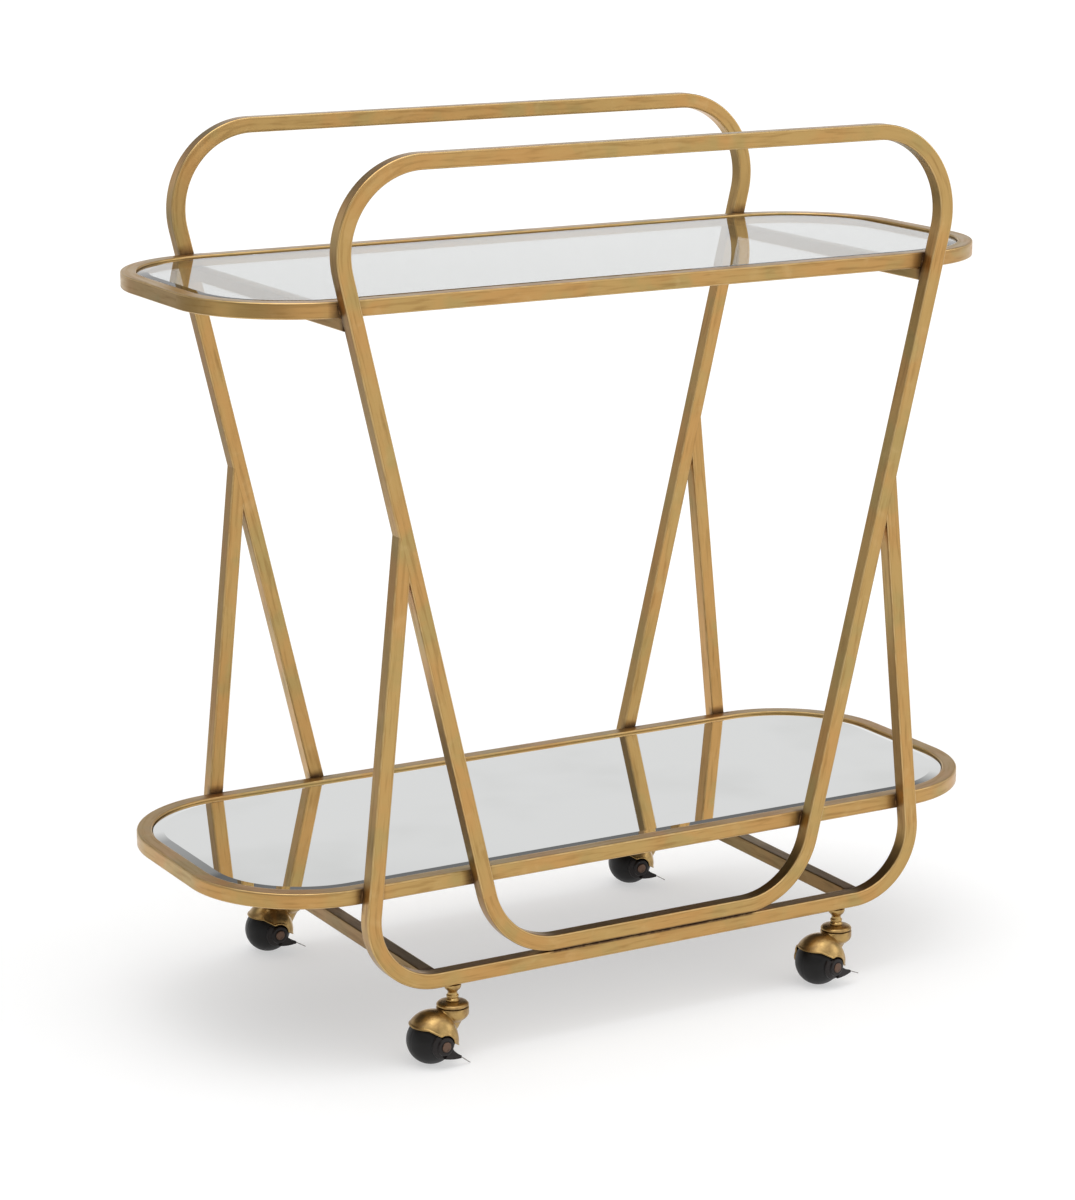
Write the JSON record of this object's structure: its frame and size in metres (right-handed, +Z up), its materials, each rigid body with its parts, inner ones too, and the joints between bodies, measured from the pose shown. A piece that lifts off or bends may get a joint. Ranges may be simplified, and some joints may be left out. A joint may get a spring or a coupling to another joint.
{
  "type": "bar cart",
  "caption": "Rolling bar cart with bent square-tube side frames that double as handles, round-cornered rimmed shelves of clear glass and bevelled mirror, and hooded ball casters with brakes.",
  "frame": {"origin": "on the floor, under the middle of the shelves", "axes": "+X along the cart's length to the right, +Y to the back, away from the side whose brakes face out, +Z up"},
  "size_m": [0.908, 0.4459, 0.9081],
  "materials": {
    "brushed_brass": "brushed lengthways and clear lacquered, antique gold with darker welds",
    "caster_brass": "satin antique gold plate",
    "clear_glass": "clear tempered, bevelled edge",
    "mirror": "silvered, bevelled edge",
    "mirror_backing": "matt paint film",
    "bumper_pad": "clear soft bumper",
    "plated_steel": "zinc plated",
    "axle_bronze": "dark bronze plate",
    "ball_black": "satin moulded, worn where it rolls",
    "brake_black": "satin moulded"
  },
  "bodies": {
    "cart_frame": {"front_handle_loop": "brushed_brass", "front_base_frame": "brushed_brass", "back_handle_loop": "brushed_brass", "back_base_frame": "brushed_brass", "base_cross_bar_left": "brushed_brass", "shelf_cross_bar_left": "brushed_brass", "base_cross_bar_right": "brushed_brass", "shelf_cross_bar_right": "brushed_brass", "top_shelf_rim": "brushed_brass", "top_shelf_ledge": "brushed_brass", "top_glass": "clear_glass", "top_pad_front_left": "bumper_pad", "top_pad_front_right": "bumper_pad", "top_pad_back_left": "bumper_pad", "top_pad_back_right": "bumper_pad", "bottom_shelf_rim": "brushed_brass", "bottom_shelf_ledge": "brushed_brass", "bottom_mirror": "mirror", "bottom_mirror_backing": "mirror_backing", "bottom_pad_front_left": "bumper_pad", "bottom_pad_front_right": "bumper_pad", "bottom_pad_back_left": "bumper_pad", "bottom_pad_back_right": "bumper_pad", "thread_insert_front_left": "plated_steel", "caster_stem_front_left": "caster_brass", "swivel_cap_front_left": "caster_brass", "swivel_bearing_front_left": "plated_steel", "thread_insert_front_right": "plated_steel", "caster_stem_front_right": "caster_brass", "swivel_cap_front_right": "caster_brass", "swivel_bearing_front_right": "plated_steel", "thread_insert_back_left": "plated_steel", "caster_stem_back_left": "caster_brass", "swivel_cap_back_left": "caster_brass", "swivel_bearing_back_left": "plated_steel", "thread_insert_back_right": "plated_steel", "caster_stem_back_right": "caster_brass", "swivel_cap_back_right": "caster_brass", "swivel_bearing_back_right": "plated_steel"},
    "caster_front_left": {"caster_hood_front_left": "caster_brass", "ball_axle_front_left": "axle_bronze"},
    "ball_front_left": {"ball_wheel_front_left": "ball_black"},
    "brake_front_left": {"brake_lever_front_left": "brake_black", "brake_tab_front_left": "plated_steel"},
    "caster_front_right": {"caster_hood_front_right": "caster_brass", "ball_axle_front_right": "axle_bronze"},
    "ball_front_right": {"ball_wheel_front_right": "ball_black"},
    "brake_front_right": {"brake_lever_front_right": "brake_black", "brake_tab_front_right": "plated_steel"},
    "caster_back_left": {"caster_hood_back_left": "caster_brass", "ball_axle_back_left": "axle_bronze"},
    "ball_back_left": {"ball_wheel_back_left": "ball_black"},
    "brake_back_left": {"brake_lever_back_left": "brake_black", "brake_tab_back_left": "plated_steel"},
    "caster_back_right": {"caster_hood_back_right": "caster_brass", "ball_axle_back_right": "axle_bronze"},
    "ball_back_right": {"ball_wheel_back_right": "ball_black"},
    "brake_back_right": {"brake_lever_back_right": "brake_black", "brake_tab_back_right": "plated_steel"}
  },
  "joints": [
    {"name": "swivel_front_left", "type": "hinge", "parent": "cart_frame", "child": "caster_front_left", "pos_m": [-0.232, -0.19001, 0.0545], "axis": [0, 0, 1], "continuous": true},
    {"name": "roll_front_left", "type": "hinge", "parent": "caster_front_left", "child": "ball_front_left", "pos_m": [-0.2588, -0.1933, 0.0246], "axis": [0.1219, -0.9925, 0], "continuous": true},
    {"name": "brake_pivot_front_left", "type": "hinge", "parent": "caster_front_left", "child": "brake_front_left", "pos_m": [-0.2588, -0.1933, 0.0246], "axis": [0.1219, -0.9925, 0], "range_deg": [0, 22]},
    {"name": "swivel_front_right", "type": "hinge", "parent": "cart_frame", "child": "caster_front_right", "pos_m": [0.232, -0.19001, 0.0545], "axis": [0, 0, 1], "continuous": true},
    {"name": "roll_front_right", "type": "hinge", "parent": "caster_front_right", "child": "ball_front_right", "pos_m": [0.20569, -0.19609, 0.0246], "axis": [0.225, -0.9744, 0], "continuous": true},
    {"name": "brake_pivot_front_right", "type": "hinge", "parent": "caster_front_right", "child": "brake_front_right", "pos_m": [0.20569, -0.19609, 0.0246], "axis": [0.225, -0.9744, 0], "range_deg": [-15, 7]},
    {"name": "swivel_back_left", "type": "hinge", "parent": "cart_frame", "child": "caster_back_left", "pos_m": [-0.232, 0.19001, 0.0545], "axis": [0, 0, 1], "continuous": true},
    {"name": "roll_back_left", "type": "hinge", "parent": "caster_back_left", "child": "ball_back_left", "pos_m": [-0.25893, 0.18813, 0.0246], "axis": [0.0698, -0.9976, 0], "continuous": true},
    {"name": "brake_pivot_back_left", "type": "hinge", "parent": "caster_back_left", "child": "brake_back_left", "pos_m": [-0.25893, 0.18813, 0.0246], "axis": [0.0698, -0.9976, 0], "range_deg": [-7, 15]},
    {"name": "swivel_back_right", "type": "hinge", "parent": "cart_frame", "child": "caster_back_right", "pos_m": [0.232, 0.19001, 0.0545], "axis": [0, 0, 1], "continuous": true},
    {"name": "roll_back_right", "type": "hinge", "parent": "caster_back_right", "child": "ball_back_right", "pos_m": [0.20502, 0.19096, 0.0246], "axis": [-0.0349, -0.9994, 0], "continuous": true},
    {"name": "brake_pivot_back_right", "type": "hinge", "parent": "caster_back_right", "child": "brake_back_right", "pos_m": [0.20502, 0.19096, 0.0246], "axis": [-0.0349, -0.9994, 0], "range_deg": [-7, 15]}
  ]
}
